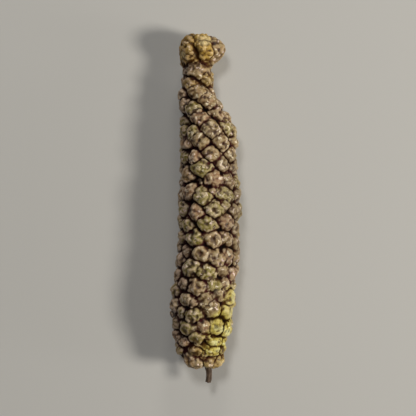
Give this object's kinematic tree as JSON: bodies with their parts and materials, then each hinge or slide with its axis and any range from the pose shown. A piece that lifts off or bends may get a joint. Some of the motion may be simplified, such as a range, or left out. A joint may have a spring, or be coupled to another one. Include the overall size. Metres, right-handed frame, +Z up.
{
  "type": "long pepper",
  "caption": "Dried long pepper: a slender, gently bent fruiting spike of tightly packed small berries with a short thin stalk, lying on a surface.",
  "frame": {"origin": "on the surface it rests on, under the middle of the whole piece's box", "axes": "+Y along the spike from the stalk to the tip, +Z up from the surface, +X to the right seen from above with the tip up"},
  "size_m": [0.0068, 0.0336, 0.0059],
  "materials": {
    "berries": "dry, wrinkled berry skins, khaki to olive brown with ochre at the tip and near-black grooves",
    "stalk": "dry fibrous bark, grey-brown"
  },
  "bodies": {
    "root": {"fruiting_spike": "berries", "stalk": "stalk"}
  },
  "joints": []
}
